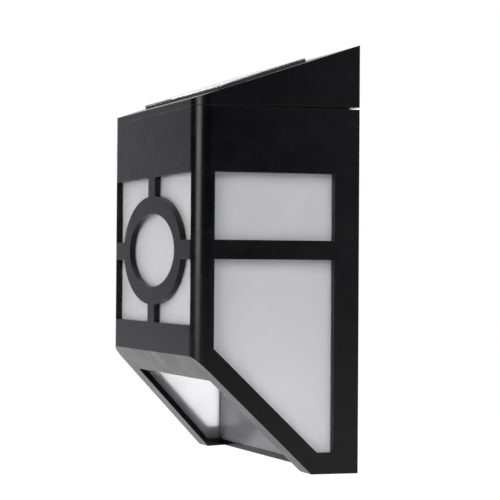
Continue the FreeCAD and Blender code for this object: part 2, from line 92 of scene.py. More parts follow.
# Screws, in millimetres: head, its crown, the cross's depth and half width, and the point.
HEAD_HEIGHT = 1.4
HEAD_CROWN = 0.5
CROSS_DEPTH = 0.9
CROSS_HALF = 0.35
SCREW_POINT = 0.8

# Shares of a screw head's radius: the cross's reach and the shank's radius.
CROSS_REACH = 0.62
SHANK_SHARE = 0.53

# The coil: turns seen on it, share of the drum's radius inside them, and clipped rims in mm.
COIL_TURNS = 9
COIL_SHARE = 0.84
COIL_CLIP = 0.15

# The LED: its barrel as a share of its rim. Then, in millimetres, the dome's tip to the rim,
# the rim's thickness, and the pitch and width of the legs.
LED_BARREL = 0.86
LED_STEM = 6.6
LED_RIM = 1.0
LED_PITCH = 2.54
LED_LEG = 0.5

# The cup in the LED, in millimetres: yellow spot, depth under the rim, and (along, radius) points.
LED_SPOT = 0.45
LED_CUP_DROP = 2.2
LED_CUP = ((0, 0), (0, LED_SPOT), (-0.5, 0.95), (-0.5, 1.1), (1.2, 1.1), (1.2, 0))

# Parts on the board, in millimetres: each leg of the chip as width, length and height, with
# four on each side, and each resistor as length, width and height.
CHIP_LEGS = 4
CHIP_LEG = (0.4, 0.9, 0.3)
RESISTORS = 3
RESISTOR = (1.6, 0.8, 0.5)
RESISTOR_START = 2.5
RESISTOR_PITCH = 2.4
RESISTOR_INSET = 0.6
SOLDER_CONE = ((0, 1.1), (0.3, 0.95), (0.8, 0.7), (1.0, 0.62))

# Silver fingers on the solar cells: pitch in millimetres and share of it that is silver.
FINGER_PITCH = 1.6
FINGER_SHARE = 0.09

# Textures, in patches per metre.
MOTTLE_SCALE = 110
DUST_SCALE = 900
CRYSTAL_SCALE = 260
LENS_SCALE = 600
COVER_SCALE = 120

# Where the painted shade on the liner's rear wall begins and is darkest, in millimetres from its back.
REAR_PAINTED_SHADE_SPAN = (1.7, 1.3)

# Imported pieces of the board: node, material, colour, gloss and softened edge in millimetres.
BOARD_PARTS = (
    ("circuit_board", "solder mask", (0.01, 0.09, 0.035), 0.2, 0.1),
    ("driver_chip", "chip body", (0.015, 0.015, 0.016), 0.5, 0.1),
    ("switch_body", "switch case", (0.03, 0.03, 0.03), 0.4, 0.1),
    ("switch_slider", "switch knob", (0.75, 0.75, 0.73), 0.4, 0.15),
)

# Brightness kept by the liner's rear wall under its painted shade.
REAR_PAINTED_SHADE = 0.24

# Share of the floor near the lamp that is plain white to the eye, its strength,
# and the distances in metres over which the floor turns all white.
FLOOR_SHARE = 0.70
FLOOR_GLOW = 1.12
FLOOR_FADE = (0.25, 1.2)

# Places of the lamps: turn from +X and rise in degrees, distance in metres. Then their sizes.
KEY_LAMP = (-76.0, 12.0, 1.0)
HIGH_LAMP = (-20.0, 42.0, 1.0)
SIDE_LAMP = (178.0, 10.0, 0.95)
KEY_SIZE = 0.5
HIGH_SIZE = 0.6
SIDE_SIZE = 0.7

# Ends of the cards as (x, y), their foot and their tops, in metres.
NEAR_ENDS = ((1.2, -1.2), (1.2, 0.45))
FRONT_ENDS = ((-1.1, -1.2), (1.2, -1.2))
FAR_ENDS = ((-1.1, -1.2), (-1.1, -0.2))
CARD_FOOT = -1.0
CARD_TOP = 1.8
FAR_TOP = 1.0

# Shades of the grey cards from one end to the other, as pairs of share and shade.
NEAR_SHADES = ((0.0, 0.0), (0.72, 0.0), (0.84, 0.45), (1.0, 0.65))
FRONT_SHADES = ((0.0, 0.03), (1.0, 0.0))
FAR_SHADES = ((0.0, 0.03), (0.42, 0.04), (0.62, 0.47), (1.0, 0.56))


# ------------------------------------------------------------------ settings

class FenceLightFinish(bpy.types.PropertyGroup):
    """Colours and surface sizes of the moulded parts"""

    body_colour: bpy.props.FloatVectorProperty(
        name="Body", description="Colour of the black moulding",
        subtype="COLOR", size=3, default=(0.0015, 0.0015, 0.0019))
    liner_colour: bpy.props.FloatVectorProperty(
        name="Liner", description="Colour of the frosted liner",
        subtype="COLOR", size=3, default=(0.885, 0.868, 0.925))
    cell_colour: bpy.props.FloatVectorProperty(
        name="Solar cells", description="Colour of the silicon strips",
        subtype="COLOR", size=3, default=(0.012, 0.018, 0.055))
    wrap_colour: bpy.props.FloatVectorProperty(
        name="Battery wrap", description="Colour of the battery's plain sleeve",
        subtype="COLOR", size=3, default=(0.05, 0.22, 0.12))
    edge_round: bpy.props.FloatProperty(
        name="Edge rounding", description="Softening seen along the moulded edges",
        unit="LENGTH", default=0.35 * MM, min=0.0)
    grain_size: bpy.props.FloatProperty(
        name="Grain", description="Size of the fine texture on the moulding",
        unit="LENGTH", default=0.35 * MM, min=0.01 * MM)
    frost_depth: bpy.props.FloatProperty(
        name="Frost", description="How far light spreads inside the liner",
        unit="LENGTH", default=10.0 * MM, min=0.0)


class FenceLightStage(bpy.types.PropertyGroup):
    """Floor, lamps and background"""

    floor_drop: bpy.props.FloatProperty(
        name="Floor", description="From the lamp's lowest edge down to the floor",
        unit="LENGTH", default=0.06, min=0.0)
    floor_size: bpy.props.FloatProperty(
        name="Floor size", description="Width of the floor",
        unit="LENGTH", default=8.0, min=1.0)
    daylight: bpy.props.FloatProperty(
        name="Room light", description="Strength of the even light from all round",
        default=0.26, min=0.0)
    key_power: bpy.props.FloatProperty(
        name="Key lamp", description="Power of the lamp in front",
        unit="POWER", default=5.0, min=0.0)
    high_power: bpy.props.FloatProperty(
        name="High lamp", description="Power of the lamp above",
        unit="POWER", default=5.6, min=0.0)
    side_power: bpy.props.FloatProperty(
        name="Side lamp", description="Power of the lamp on the far side",
        unit="POWER", default=10.5, min=0.0)


# ------------------------------------------------------------------ small tools

def finish():
    """The finish settings."""
    return bpy.context.scene.fence_light_finish


def stage_settings():
    """The stage settings."""
    return bpy.context.scene.fence_light_stage


def middle(node):
    """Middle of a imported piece."""
    low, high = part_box(node)
    return (low + high) / 2


def dress(names, surface):
    """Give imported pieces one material."""
    for name in names:
        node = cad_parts[name]
        if not node.material_slots:
            node.data.materials.append(surface)
        for holder in node.material_slots:
            holder.material = surface


def smooth(mesh):
    """Shade a mesh smooth."""
    for polygon in mesh.polygons:
        polygon.use_smooth = True


def add_piece(name, mesh, surfaces, body):
    """Link a new mesh, dress it and let it ride on a body."""
    piece = bpy.data.objects.new(name, mesh)
    bpy.context.scene.collection.objects.link(piece)
    for surface in surfaces:
        mesh.materials.append(surface)
    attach(piece, body)
    return piece


def mesh_from(name, build):
    """A mesh made by a function that fills a bmesh."""
    form = bmesh.new()
    build(form)
    bmesh.ops.recalc_face_normals(form, faces=form.faces)
    mesh = bpy.data.meshes.new(name)
    form.to_mesh(mesh)
    form.free()
    return mesh


def in_metres(points):
    """Points given in millimetres."""
    return [(along * MM, radius * MM) for along, radius in points]


def lathe(form, outline, place, turn, steps=48):
    """Turn (along, radius) points about the local X axis into a closed form."""
    rings = []
    for along, radius in outline:
        if radius == 0:
            rings.append([form.verts.new(place @ (turn @ Vector((along, 0, 0))))])
            continue
        ring = []
        for step in range(steps):
            angle = 2 * math.pi * step / steps
            point = Vector((along, radius * math.cos(angle), radius * math.sin(angle)))
            ring.append(form.verts.new(place @ (turn @ point)))
        rings.append(ring)
    for first, second in zip(rings, rings[1:]):
        join_rings(form, first, second, steps)


def join_rings(form, first, second, steps):
    """Faces between two rings, either of which may be a single point."""
    for step in range(steps):
        after = (step + 1) % steps
        if len(first) == 1:
            form.faces.new((first[0], second[step], second[after]))
        elif len(second) == 1:
            form.faces.new((first[step], first[after], second[0]))
        else:
            form.faces.new((first[step], first[after], second[after], second[step]))


# ------------------------------------------------------------------ node tools and groups

def new_group(name, inputs, outputs):
    """An empty shader group with named sockets."""
    group = bpy.data.node_groups.new(name, "ShaderNodeTree")
    for label, kind, default in inputs:
        socket = group.interface.new_socket(name=label, in_out="INPUT", socket_type=kind)
        socket.default_value = default
    for label, kind in outputs:
        group.interface.new_socket(name=label, in_out="OUTPUT", socket_type=kind)
    return group, group.nodes.new("NodeGroupInput"), group.nodes.new("NodeGroupOutput")


def feed(tree, socket, value):
    """Give a socket a number, or link another socket to it."""
    if isinstance(value, bpy.types.NodeSocket):
        tree.links.new(value, socket)
    else:
        socket.default_value = value


def calculate(tree, operation, *values, clamp=False):
    """Result of one sum on sockets and numbers."""
    node = tree.nodes.new("ShaderNodeMath")
    node.operation = operation
    node.use_clamp = clamp
    for socket, value in zip(node.inputs, values):
        feed(tree, socket, value)
    return node.outputs["Value"]


def remap(tree, value, source=(0.0, 1.0), result=(0.0, 1.0)):
    """One span of values laid onto another."""
    node = tree.nodes.new("ShaderNodeMapRange")
    node.inputs["From Min"].default_value = source[0]
    node.inputs["From Max"].default_value = source[1]
    node.inputs["To Min"].default_value = result[0]
    node.inputs["To Max"].default_value = result[1]
    tree.links.new(value, node.inputs["Value"])
    return node.outputs["Result"]


def scaled(tree, vector, factor):
    """A colour or vector times a value."""
    node = tree.nodes.new("ShaderNodeVectorMath")
    node.operation = "SCALE"
    tree.links.new(vector, node.inputs[0])
    tree.links.new(factor, node.inputs["Scale"])
    return node.outputs["Vector"]


def object_place(tree):
    """Place on the object, in its own axes."""
    return tree.nodes.new("ShaderNodeTexCoord").outputs["Object"]


def split(tree, vector):
    """The three parts of a vector."""
    node = tree.nodes.new("ShaderNodeSeparateXYZ")
    tree.links.new(vector, node.inputs["Vector"])
    return node.outputs


def noise(tree, scale, detail=2.0, distortion=0.0):
    """Soft noise that stays on the object."""
    node = tree.nodes.new("ShaderNodeTexNoise")
    tree.links.new(object_place(tree), node.inputs["Vector"])
    feed(tree, node.inputs["Scale"], scale)
    node.inputs["Detail"].default_value = detail
    node.inputs["Distortion"].default_value = distortion
    return node.outputs["Fac"]


def moulded_grain():
    """Fine moulded texture: mottled colour, uneven gloss, soft edges."""
    name = "moulded grain"
    if name in bpy.data.node_groups:
        return bpy.data.node_groups[name]
    inputs = [("Colour", "NodeSocketColor", (0.02, 0.02, 0.02, 1))]
    inputs += [("Grain", "NodeSocketFloat", 2500.0), ("Depth", "NodeSocketFloat", 0.05)]
    inputs += [("Gloss", "NodeSocketFloat", 0.4), ("Edge", "NodeSocketFloat", 0.0004)]
    inputs += [("Mottle", "NodeSocketFloat", 0.18)]
    outputs = [("Colour", "NodeSocketColor"), ("Roughness", "NodeSocketFloat")]
    outputs += [("Normal", "NodeSocketVector")]
    group, entry, leave = new_group(name, inputs, outputs)
    links = group.links
    fine = noise(group, entry.outputs["Grain"], detail=3)
    broad = noise(group, MOTTLE_SCALE, detail=5, distortion=0.6)
    spread = calculate(group, "MULTIPLY_ADD", broad, 2.0, -1.0)
    tint = calculate(group, "MULTIPLY_ADD", spread, entry.outputs["Mottle"], 1.0)
    links.new(scaled(group, entry.outputs["Colour"], tint), leave.inputs["Colour"])
    uneven = remap(group, broad, source=(0.3, 0.7), result=(0.82, 1.22))
    gloss = calculate(group, "MULTIPLY", entry.outputs["Gloss"], uneven)
    links.new(gloss, leave.inputs["Roughness"])
    soft = group.nodes.new("ShaderNodeBevel")
    soft.samples = 4
    links.new(entry.outputs["Edge"], soft.inputs["Radius"])
    bump = group.nodes.new("ShaderNodeBump")
    bump.inputs["Distance"].default_value = 0.05 * MM
    links.new(entry.outputs["Depth"], bump.inputs["Strength"])
    links.new(fine, bump.inputs["Height"])
    links.new(soft.outputs["Normal"], bump.inputs["Normal"])
    links.new(bump.outputs["Normal"], leave.inputs["Normal"])
    return group


def settled_dust():
    """Pale dust that lies on what faces up: a mask from 0 to 1."""
    name = "settled dust"
    if name in bpy.data.node_groups:
        return bpy.data.node_groups[name]
    inputs = [("Amount", "NodeSocketFloat", 0.1)]
    group, entry, leave = new_group(name, inputs, [("Mask", "NodeSocketFloat")])
    shape = group.nodes.new("ShaderNodeNewGeometry")
    up = remap(group, split(group, shape.outputs["Normal"])["Z"], source=(0.3, 1.0))
    patches = remap(group, noise(group, DUST_SCALE, detail=5), source=(0.5, 0.72))
    both = calculate(group, "MULTIPLY", up, patches)
    mask = calculate(group, "MULTIPLY", both, entry.outputs["Amount"])
    group.links.new(mask, leave.inputs["Mask"])
    return group


# ------------------------------------------------------------------ materials

def start_material(name):
    """A material with a Principled shader; returns all three."""
    if name in bpy.data.materials:
        bpy.data.materials.remove(bpy.data.materials[name])
    surface = bpy.data.materials.new(name)
    surface.use_nodes = True
    nodes = surface.node_tree.nodes
    return surface, surface.node_tree, nodes["Principled BSDF"]


def moulded(name, colour, gloss=0.4, depth=0.05, specular=0.5, dust=0.0, metal=0.0,
            edge=None, mottle=0.3):
    """Moulded or pressed surface with grain, soft edges and, on top, dust."""
    surface, tree, shader = start_material(name)
    grained = tree.nodes.new("ShaderNodeGroup")
    grained.node_tree = moulded_grain()
    grained.inputs["Colour"].default_value = (*colour, 1)
    grained.inputs["Grain"].default_value = 1 / finish().grain_size
    grained.inputs["Mottle"].default_value = mottle
    grained.inputs["Depth"].default_value = depth
    grained.inputs["Gloss"].default_value = gloss
    grained.inputs["Edge"].default_value = finish().edge_round if edge is None else edge
    shader.inputs["Specular IOR Level"].default_value = specular
    shader.inputs["Metallic"].default_value = metal
    tree.links.new(grained.outputs["Roughness"], shader.inputs["Roughness"])
    tree.links.new(grained.outputs["Normal"], shader.inputs["Normal"])
    if not dust:
        tree.links.new(grained.outputs["Colour"], shader.inputs["Base Color"])
        return surface
    settled = tree.nodes.new("ShaderNodeGroup")
    settled.node_tree = settled_dust()
    settled.inputs["Amount"].default_value = dust
    blend = tree.nodes.new("ShaderNodeMix")
    blend.data_type = "RGBA"
    tree.links.new(settled.outputs["Mask"], blend.inputs["Factor"])
    tree.links.new(grained.outputs["Colour"], blend.inputs["A"])
    blend.inputs["B"].default_value = (0.35, 0.33, 0.30, 1)
    tree.links.new(blend.outputs["Result"], shader.inputs["Base Color"])
    return surface


def frosted():
    """Cloudy white plastic that light spreads in; its rear wall is darkened with painted shade."""
    surface = moulded("frosted liner", finish().liner_colour, gloss=0.20, edge=0.3 * MM, mottle=0.03)
    tree = surface.node_tree
    shader = tree.nodes["Principled BSDF"]
    shader.inputs["Subsurface Weight"].default_value = 1.0
    shader.inputs["Subsurface Radius"].default_value = (1.0, 1.0, 1.0)
    shader.inputs["Subsurface Scale"].default_value = finish().frost_depth
    grained = shader.inputs["Base Color"].links[0].from_socket
    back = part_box("liner")[1].y
    span = [back - inset * MM for inset in REAR_PAINTED_SHADE_SPAN]
    # Painted shade: the liner's colour is darkened towards its rear wall.
    rear = remap(tree, split(tree, object_place(tree))["Y"], source=span, result=(1.0, REAR_PAINTED_SHADE))
    tree.links.new(scaled(tree, grained, rear), shader.inputs["Base Color"])
    return surface


def silicon():
    """Dark blue cells with thin silver fingers across them."""
    surface, tree, shader = start_material("solar cells")
    nodes, links = tree.nodes, tree.links
    place = object_place(tree)
    count = calculate(tree, "MULTIPLY", split(tree, place)["Y"], 1 / (FINGER_PITCH * MM))
    line = calculate(tree, "LESS_THAN", calculate(tree, "FRACT", count), FINGER_SHARE)
    crystals = nodes.new("ShaderNodeTexVoronoi")
    crystals.inputs["Scale"].default_value = CRYSTAL_SCALE
    links.new(place, crystals.inputs["Vector"])
    shade = nodes.new("ShaderNodeMix")
    shade.data_type = "RGBA"
    links.new(crystals.outputs["Distance"], shade.inputs["Factor"])
    colour = finish().cell_colour
    shade.inputs["A"].default_value = (*colour, 1)
    shade.inputs["B"].default_value = (colour[0] * 1.8, colour[1] * 2.2, colour[2] * 2.4, 1)
    fingers = nodes.new("ShaderNodeMix")
    fingers.data_type = "RGBA"
    links.new(line, fingers.inputs["Factor"])
    links.new(shade.outputs["Result"], fingers.inputs["A"])
    fingers.inputs["B"].default_value = (0.45, 0.46, 0.48, 1)
    links.new(fingers.outputs["Result"], shader.inputs["Base Color"])
    shader.inputs["Roughness"].default_value = 0.25
    return surface


def clear(name, colour, waves_scale, gloss):
    """Clear material with uneven gloss; returns it, its shader and its noise."""
    surface, tree, shader = start_material(name)
    shader.inputs["Base Color"].default_value = (*colour, 1)
    shader.inputs["Transmission Weight"].default_value = 1.0
    waves = noise(tree, waves_scale)
    tree.links.new(remap(tree, waves, result=gloss), shader.inputs["Roughness"])
    return surface, shader, waves


def clear_lens():
    """Clear resin of the LEDs, faintly uneven."""
    return clear("LED lens", (0.97, 0.97, 0.95), LENS_SCALE, (0.03, 0.10))[0]


def clear_cover():
    """Clear layer over the cells, a little uneven."""
    surface, shader, waves = clear("clear cover", (0.93, 0.95, 0.97), COVER_SCALE, (0.06, 0.14))
    shader.inputs["IOR"].default_value = 1.49
    tree = surface.node_tree
    bump = tree.nodes.new("ShaderNodeBump")
    bump.inputs["Distance"].default_value = 0.02 * MM
    bump.inputs["Strength"].default_value = 0.3
    tree.links.new(waves, bump.inputs["Height"])
    tree.links.new(bump.outputs["Normal"], shader.inputs["Normal"])
    return surface


# ------------------------------------------------------------------ stage

def camera_turn():
    """Axes of the camera: right, up and back."""
    azimuth, rise, roll = (math.radians(a) for a in (CAMERA_AZIMUTH, CAMERA_RISE, CAMERA_ROLL))
    level = math.cos(rise)
    ahead = Vector((-math.sin(azimuth) * level, math.cos(azimuth) * level, math.sin(rise)))
    across = ahead.cross(Vector((0, 0, 1))).normalized()
    upright = across.cross(ahead)
    right = across * math.cos(roll) + upright * math.sin(roll)
    up = upright * math.cos(roll) - across * math.sin(roll)
    return Matrix((right, up, -ahead)).transposed()


def make_camera():
    """Camera at the photograph's place."""
    lens = bpy.data.cameras.new("photo_camera")
    lens.sensor_width = SENSOR
    lens.lens = FOCAL_PIXELS * SENSOR / FRAME_PIXELS
    lens.clip_start = 10 * MM
    camera = bpy.data.objects.new("photo_camera", lens)
    bpy.context.scene.collection.objects.link(camera)
    camera.matrix_world = Matrix.Translation(Vector(CAMERA_PLACE) * MM) @ camera_turn().to_4x4()
    bpy.context.scene.camera = camera


def background_share(tree):
    """One for rays that look straight at the background, mirror it or pass to it."""
    path = tree.nodes.new("ShaderNodeLightPath").outputs
    direct = calculate(tree, "ADD", path["Is Camera Ray"], path["Is Glossy Ray"], clamp=True)
    return calculate(tree, "ADD", direct, path["Is Transmission Ray"], clamp=True)


def fade_outwards(tree, near, far):
    """A value that changes with the distance from the lamp along the floor."""
    reach = tree.nodes.new("ShaderNodeVectorMath")
    reach.operation = "LENGTH"
    tree.links.new(object_place(tree), reach.inputs[0])
    fade = remap(tree, reach.outputs["Value"], source=FLOOR_FADE, result=(near, far))
    fade.node.interpolation_type = "SMOOTHSTEP"
    return fade


def make_world():
    """White to the eye, softer as a light."""
    world = bpy.data.worlds.new("studio")
    bpy.context.scene.world = world
    world.use_nodes = True
    tree = world.node_tree
    tree.nodes.clear()
    seen = tree.nodes.new("ShaderNodeBackground")
    light = tree.nodes.new("ShaderNodeBackground")
    light.inputs["Color"].default_value = (0.97, 0.98, 1.0, 1)
    light.inputs["Strength"].default_value = stage_settings().daylight
    seen.inputs["Strength"].default_value = 1.0
    seen.inputs["Color"].default_value = (1, 1, 1, 1)
    mix = tree.nodes.new("ShaderNodeMixShader")
    tree.links.new(background_share(tree), mix.inputs["Fac"])
    tree.links.new(light.outputs["Background"], mix.inputs[1])
    tree.links.new(seen.outputs["Background"], mix.inputs[2])
    leave = tree.nodes.new("ShaderNodeOutputWorld")
    tree.links.new(mix.outputs["Shader"], leave.inputs["Surface"])


def floor_material():
    """Pale floor that stays white to the eye, keeps a soft shadow and is clear from below."""
    surface, tree, shader = start_material("pale floor")
    shader.inputs["Base Color"].default_value = (0.86, 0.86, 0.87, 1)
    shader.inputs["Roughness"].default_value = 0.9
    shader.inputs["Specular IOR Level"].default_value = 0.1
    glow = tree.nodes.new("ShaderNodeEmission")
    glow.inputs["Color"].default_value = (1, 1, 1, 1)
    tree.links.new(fade_outwards(tree, FLOOR_GLOW, 1.0), glow.inputs["Strength"])
    fade = fade_outwards(tree, FLOOR_SHARE, 1.0)
    share = calculate(tree, "MULTIPLY", background_share(tree), fade)
    mix = tree.nodes.new("ShaderNodeMixShader")
    tree.links.new(share, mix.inputs["Fac"])
    tree.links.new(shader.outputs["BSDF"], mix.inputs[1])
    tree.links.new(glow.outputs["Emission"], mix.inputs[2])
    shape = tree.nodes.new("ShaderNodeNewGeometry")
    see_through = tree.nodes.new("ShaderNodeBsdfTransparent")
    side = tree.nodes.new("ShaderNodeMixShader")
    tree.links.new(shape.outputs["Backfacing"], side.inputs["Fac"])
    tree.links.new(mix.outputs["Shader"], side.inputs[1])
    tree.links.new(see_through.outputs["BSDF"], side.inputs[2])
    leave = tree.nodes["Material Output"]
    tree.links.new(side.outputs["Shader"], leave.inputs["Surface"])
    return surface


def make_floor():
    """Flat floor under the lamp."""
    half = stage_settings().floor_size / 2
    low = CAD_BOX[0][2] - stage_settings().floor_drop
    mesh = bpy.data.meshes.new("floor")
    corners = [(-half, -half, low), (half, -half, low), (half, half, low), (-half, half, low)]
    mesh.from_pydata(corners, [], [(0, 1, 2, 3)])
    mesh.materials.append(floor_material())
    floor = bpy.data.objects.new("floor", mesh)
    bpy.context.scene.collection.objects.link(floor)


def aim(lamp, place, target):
    """Stand a lamp at a place and turn it to its target."""
    lamp.location = place
    lamp.rotation_euler = (Vector(target) - Vector(place)).to_track_quat("-Z", "Y").to_euler()


def stand(target, turn, rise, distance):
    """Place at a turn and rise round a target."""
    level = distance * math.cos(math.radians(rise))
    ahead = Vector((math.cos(math.radians(turn)), math.sin(math.radians(turn)), 0))
    return Vector(target) + ahead * level + Vector((0, 0, distance * math.sin(math.radians(rise))))


def soft_lamp(name, where, target, size, power):
    """Square soft box at a turn, rise and distance."""
    light = bpy.data.lights.new(name, "AREA")
    light.shape = "RECTANGLE"
    light.size = size
    light.size_y = size
    light.energy = power
    lamp = bpy.data.objects.new(name, light)
    bpy.context.scene.collection.objects.link(lamp)
    aim(lamp, stand(target, *where), target)
    return lamp


def card(name, ends, low, high, shades):
    """Upright grey card seen only in the gloss; its shade runs from one end to the other."""
    surface, tree, shader = start_material(name)
    tree.nodes.remove(shader)
    glow = tree.nodes.new("ShaderNodeEmission")
    axes = split(tree, tree.nodes.new("ShaderNodeTexCoord").outputs["Generated"])
    ramp = tree.nodes.new("ShaderNodeValToRGB")
    ramp.color_ramp.elements.remove(ramp.color_ramp.elements[1])
    for number, (where, shade) in enumerate(shades):
        points = ramp.color_ramp.elements
        point = points[0] if number == 0 else points.new(where)
        point.position = where
        point.color = (shade, shade * 0.985, shade * 1.08, 1)
    (x1, y1), (x2, y2) = ends
    along = "X" if abs(x2 - x1) > abs(y2 - y1) else "Y"
    tree.links.new(axes[along], ramp.inputs["Fac"])
    tree.links.new(ramp.outputs["Color"], glow.inputs["Color"])
    tree.links.new(glow.outputs["Emission"], tree.nodes["Material Output"].inputs["Surface"])
    mesh = bpy.data.meshes.new(name)
    corners = [(x1, y1, low), (x2, y2, low), (x2, y2, high), (x1, y1, high)]
    mesh.from_pydata(corners, [], [(0, 1, 2, 3)])
    mesh.materials.append(surface)
    piece = bpy.data.objects.new(name, mesh)
    bpy.context.scene.collection.objects.link(piece)
    piece.visible_camera = False
    piece.visible_diffuse = False
    piece.visible_transmission = False
    piece.visible_shadow = False


# ------------------------------------------------------------------ operators

class BuildStage(bpy.types.Operator):
    """Floor, lamps, background and camera"""

    bl_idname = "fence_light.stage"
    bl_label = "Stage"

    def execute(self, context):
        context.scene.view_settings.view_transform = "Standard"
        make_camera()
        make_world()
        make_floor()
        settings = stage_settings()
        target = middle("housing")
        soft_lamp("key_lamp", KEY_LAMP, target, KEY_SIZE, settings.key_power)
        high = soft_lamp("high_lamp", HIGH_LAMP, target, HIGH_SIZE, settings.high_power)
        high.visible_glossy = False
        far = soft_lamp("side_lamp", SIDE_LAMP, target, SIDE_SIZE, settings.side_power)
        far.visible_glossy = False
        card("near_card", NEAR_ENDS, CARD_FOOT, CARD_TOP, NEAR_SHADES)
        card("front_card", FRONT_ENDS, CARD_FOOT, CARD_TOP, FRONT_SHADES)
        card("far_card", FAR_ENDS, CARD_FOOT, FAR_TOP, FAR_SHADES)
        return {"FINISHED"}


class FinishHousing(bpy.types.Operator):
    """Black moulded housing and cap with fine grain and soft edges"""

    bl_idname = "fence_light.housing"
    bl_label = "Housing and cap"

    def execute(self, context):
        colour = finish().body_colour
        shell = {"gloss": 0.27, "depth": 0.08, "specular": 0.28}
        dress(["housing"], moulded("black moulding", colour, dust=0.01, **shell))
        dress(["cap_shell"], moulded("black cap", colour, dust=0.02, **shell))
        dress(["tray", "battery_door"], moulded("black tray", colour, gloss=0.45, depth=0.15))
        return {"FINISHED"}


class FinishLiner(bpy.types.Operator):
    """Frosted liner behind the windows"""

    bl_idname = "fence_light.liner"
    bl_label = "Frosted liner"

    def execute(self, context):
        dress(["liner"], frosted())
        return {"FINISHED"}


class FinishPanel(bpy.types.Operator):
    """Solar panel: backing, cells, clear cover and leads"""

    bl_idname = "fence_light.panel"
    bl_label = "Solar panel"

    def execute(self, context):
        dress(["panel_backing"], moulded("panel laminate", (0.02, 0.02, 0.024), gloss=0.35))
        dress(["panel_cover"], clear_cover())
        cells = [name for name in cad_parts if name.startswith("solar_cell")]
        dress(cells, silicon())
        dress(["panel_wire_left"], moulded("black lead", (0.02, 0.02, 0.02), edge=0.05 * MM))
        dress(["panel_wire_right"], moulded("red lead", (0.45, 0.02, 0.02), edge=0.05 * MM))
        return {"FINISHED"}


class BuildBattery(bpy.types.Operator):
    """Battery with its rolled ends, and the sprung contact"""

    bl_idname = "fence_light.battery"
    bl_label = "Battery and contacts"

    def execute(self, context):
        colour = (0.72, 0.72, 0.70)
        metal = moulded("plated steel", colour, gloss=0.25, depth=0.03, metal=1.0, edge=0.1 * MM)
        dress(["battery_contact"], metal)
        build_battery(metal)
        build_spring(metal)
        return {"FINISHED"}


class BuildScrews(bpy.types.Operator):
    """Screws with domed heads and crossed recesses"""

    bl_idname = "fence_light.screws"
    bl_label = "Screws"

    def execute(self, context):
        steel = moulded("zinc screw", (0.55, 0.56, 0.58), gloss=0.3, metal=1.0, edge=0.05 * MM)
        build_screws("tray_screws", "cap", steel)
        build_screws("door_screw", "battery_door", steel)
        return {"FINISHED"}


class BuildBoard(bpy.types.Operator):
    """Circuit board, its parts, the LEDs and the switch"""

    bl_idname = "fence_light.board"
    bl_label = "Board, LEDs and switch"

    def execute(self, context):
        for node, name, colour, gloss, edge in BOARD_PARTS:
            dress([node], moulded(name, colour, gloss=gloss, edge=edge * MM))
        tin = moulded("solder", (0.75, 0.75, 0.76), gloss=0.2, metal=1.0, edge=0.05 * MM)
        build_inductor()
        lens = clear_lens()
        phosphor = moulded("phosphor", (0.85, 0.62, 0.08), gloss=0.6, edge=0.02 * MM)
        for side in ("led_left", "led_right"):
            build_led(side, lens, tin, phosphor)
        build_board_parts(tin)
        return {"FINISHED"}


# ------------------------------------------------------------------ new pieces

def build_battery(metal):
    """One lathe-turned cell: sleeve, rolled shoulders and raised end."""
    low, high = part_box("battery")
    centre = (low + high) / 2
    radius = (high.z - low.z) / 2
    length = high.x - low.x
    nub_radius = NUB_RADIUS * MM
    body = length - NUB_LENGTH * MM
    # The flat end and its groove.
    outline = [(0, 0), (0, radius * 0.7), (0.3 * MM, radius * 0.78)]
    outline += [(0.3 * MM, radius - 0.5 * MM), (0, radius - 0.35 * MM)]
    # The sleeve, rolled over at both ends.
    outline += [(0.2 * MM, radius - 0.08 * MM), (0.6 * MM, radius)]
    outline += [(body - SHOULDER * MM, radius), (body - 0.25 * MM, radius - 0.15 * MM)]
    outline += [(body, radius - 0.5 * MM), (body - 0.1 * MM, radius - 1.0 * MM)]
    # The raised end.
    outline += [(body, nub_radius + 0.6 * MM), (body, nub_radius)]
    outline += [(length - 0.2 * MM, nub_radius), (length, nub_radius - 0.2 * MM), (length, 0)]
    place = Matrix.Translation((low.x, centre.y, centre.z))
    mesh = mesh_from("battery_cell", lambda form: lathe(form, outline, place, Matrix.Identity(4)))
    smooth(mesh)
    wrap = moulded("battery wrap", finish().wrap_colour, gloss=0.22, depth=0.02, edge=0.05 * MM)
    piece = add_piece("battery_cell", mesh, [wrap, metal], "cap")
    sleeve_start, sleeve_end = 0.25 * MM, body - 0.12 * MM
    for polygon in mesh.polygons:
        at = polygon.center.x - low.x
        if at < sleeve_start or at > sleeve_end:
            polygon.material_index = 1
    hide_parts("battery")


def build_spring(metal):
    """Tapered wire spring on its plate, at the flat end of the cell."""
    low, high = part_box("battery_spring")
    centre = (low + high) / 2
    plate, wire = PLATE_THICK * MM, SPRING_WIRE * MM
    curve = bpy.data.curves.new("spring wire", "CURVE")
    curve.dimensions = "3D"
    curve.bevel_depth = wire
    curve.bevel_resolution = 3
    curve.use_fill_caps = True
    count = SPRING_TURNS * SPRING_STEPS + 1
    line = curve.splines.new("POLY")
    line.points.add(count - 1)
    start, end = low.x + plate + wire, high.x - wire
    for number in range(count):
        share = number / (count - 1)
        angle = 2 * math.pi * SPRING_TURNS * share
        radius = (SPRING_RADIUS - SPRING_TAPER * share) * MM
        along = start + (end - start) * share
        y, z = radius * math.cos(angle), radius * math.sin(angle)
        line.points[number].co = (along, centre.y + y, centre.z + z, 1)
    curve.materials.append(metal)
    piece = bpy.data.objects.new("spring_wire", curve)
    bpy.context.scene.collection.objects.link(piece)
    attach(piece, "cap")
    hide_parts("battery_spring")
    half = (high.z - low.z) / 2
    mesh = mesh_from("spring_plate", lambda form: sheet_plate(form, low.x, plate, centre, half))
    piece = add_piece("spring_plate", mesh, [metal], "cap")
    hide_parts("battery_spring")


